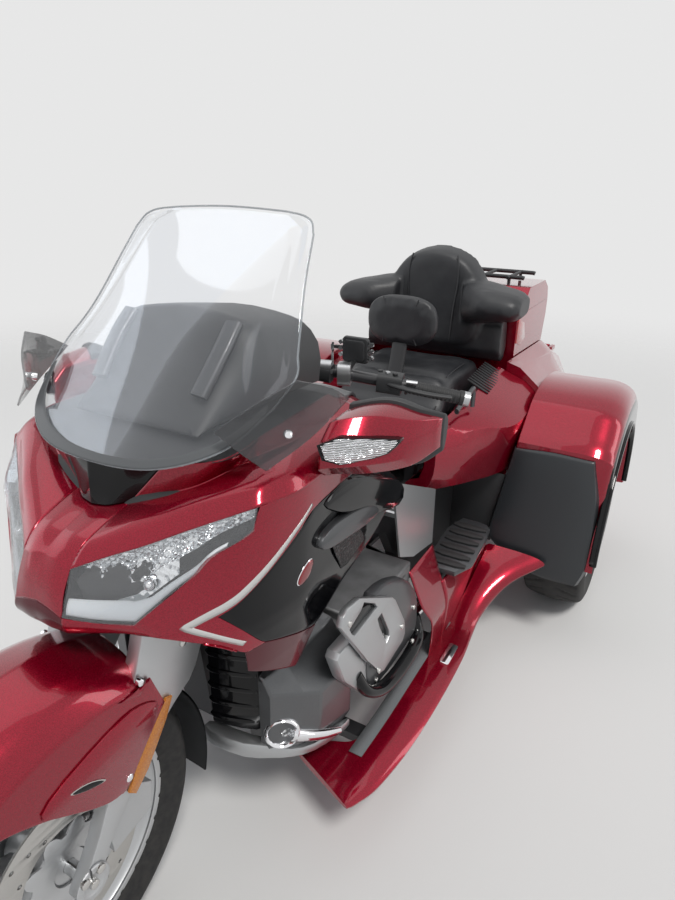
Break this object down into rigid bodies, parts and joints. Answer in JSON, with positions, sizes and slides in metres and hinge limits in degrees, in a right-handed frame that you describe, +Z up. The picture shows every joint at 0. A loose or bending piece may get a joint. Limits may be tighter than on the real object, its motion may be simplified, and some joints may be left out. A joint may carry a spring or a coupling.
{
  "type": "touring motor trike",
  "caption": "Touring motor trike with a steered front wheel in a fork, full fairing and windscreen, flat engine, stepped seats, hinged trunk, and fenders over the rear wheels.",
  "frame": {"origin": "middle of the footprint at ground level, halfway along the overall length on the centre plane", "axes": "+Y towards the rear, +X to the vehicle's left, +Z up"},
  "size_m": [1.38, 2.7339, 1.377],
  "materials": {
    "cherry_paint": "candy red metallic under clear coat",
    "gloss_black": "gloss black",
    "satin_black": "grained black plastic",
    "cast_silver": "satin cast aluminium",
    "dark_cast": "dark grey paint on plastic",
    "tire_rubber": "matt rubber",
    "steel": "ground steel",
    "chrome": "polished chrome",
    "seat_vinyl": "black vinyl with a fine grain",
    "screen": "clear polycarbonate",
    "smoke": "smoked acrylic",
    "lamp_lens": "clear lens over chromed bowls",
    "amber": "amber reflector",
    "red_lens": "red lens",
    "frame_black": "black powder coat"
  },
  "bodies": {
    "chassis": {"backrests": "seat_vinyl", "dash_hood": "satin_black", "engine": "cast_silver", "engine_cowls": "dark_cast", "exhaust": "chrome", "fender_guards": "satin_black", "floorboards": "satin_black", "fog_lights": "chrome", "head_covers": "cast_silver", "headlights": "lamp_lens", "heat_shields": "chrome", "main_frame": "frame_black", "mirrors": "cherry_paint", "radiators": "satin_black", "rear_axle": "frame_black", "rear_body": "cherry_paint", "rear_fenders": "cherry_paint", "running_boards": "cherry_paint", "seats": "seat_vinyl", "side_covers": "cherry_paint", "side_cowls": "cherry_paint", "side_panels": "gloss_black", "tail_lamps": "red_lens", "tank_cover": "cherry_paint", "trunk": "cherry_paint", "turn_signals": "amber", "upper_cowl": "cherry_paint", "wind_deflectors": "smoke", "windscreen": "screen", "wishbones": "cast_silver"},
    "fork": {"fork": "cast_silver", "front_fender": "cherry_paint", "mud_flap": "satin_black", "front_calipers": "dark_cast"},
    "front_wheel": {"front_rim": "cast_silver", "front_tire": "tire_rubber", "front_discs": "steel"},
    "rear_wheel_left": {"rear_rim_left": "cast_silver", "rear_tire_left": "tire_rubber"},
    "rear_wheel_right": {"rear_rim_right": "cast_silver", "rear_tire_right": "tire_rubber"},
    "handlebar": {"handlebar": "satin_black"},
    "lid": {"trunk_lid": "cherry_paint", "luggage_rack": "satin_black"},
    "boot_door": {"boot_door": "cherry_paint"}
  },
  "joints": [
    {"name": "fork_steer", "type": "hinge", "parent": "chassis", "child": "fork", "pos_m": [0, -1.12741, 0], "axis": [0, 0.5075, 0.8616], "range_deg": [-30, 30]},
    {"name": "handlebar_turn", "type": "hinge", "parent": "chassis", "child": "handlebar", "pos_m": [0, -0.27341, 1], "axis": [0, 0.5075, 0.8616], "range_deg": [-30, 30]},
    {"name": "front_wheel_spin", "type": "hinge", "parent": "fork", "child": "front_wheel", "pos_m": [0, -1.01841, 0.318], "axis": [1, 0, 0], "continuous": true},
    {"name": "rear_wheel_left_spin", "type": "hinge", "parent": "chassis", "child": "rear_wheel_left", "pos_m": [0.563, 0.77159, 0.318], "axis": [1, 0, 0], "continuous": true},
    {"name": "rear_wheel_right_spin", "type": "hinge", "parent": "chassis", "child": "rear_wheel_right", "pos_m": [-0.563, 0.77159, 0.318], "axis": [1, 0, 0], "continuous": true},
    {"name": "trunk_lid_open", "type": "hinge", "parent": "chassis", "child": "lid", "pos_m": [0, 0.81159, 1.0004], "axis": [1, 0, 0], "range_deg": [0, 50]},
    {"name": "boot_door_open", "type": "hinge", "parent": "chassis", "child": "boot_door", "pos_m": [0, 1.36259, 0.775], "axis": [1, 0, 0], "range_deg": [0, 85]}
  ],
  "couplings": [
    {"joint": "handlebar_turn", "follows": "fork_steer", "ratio": 1}
  ]
}
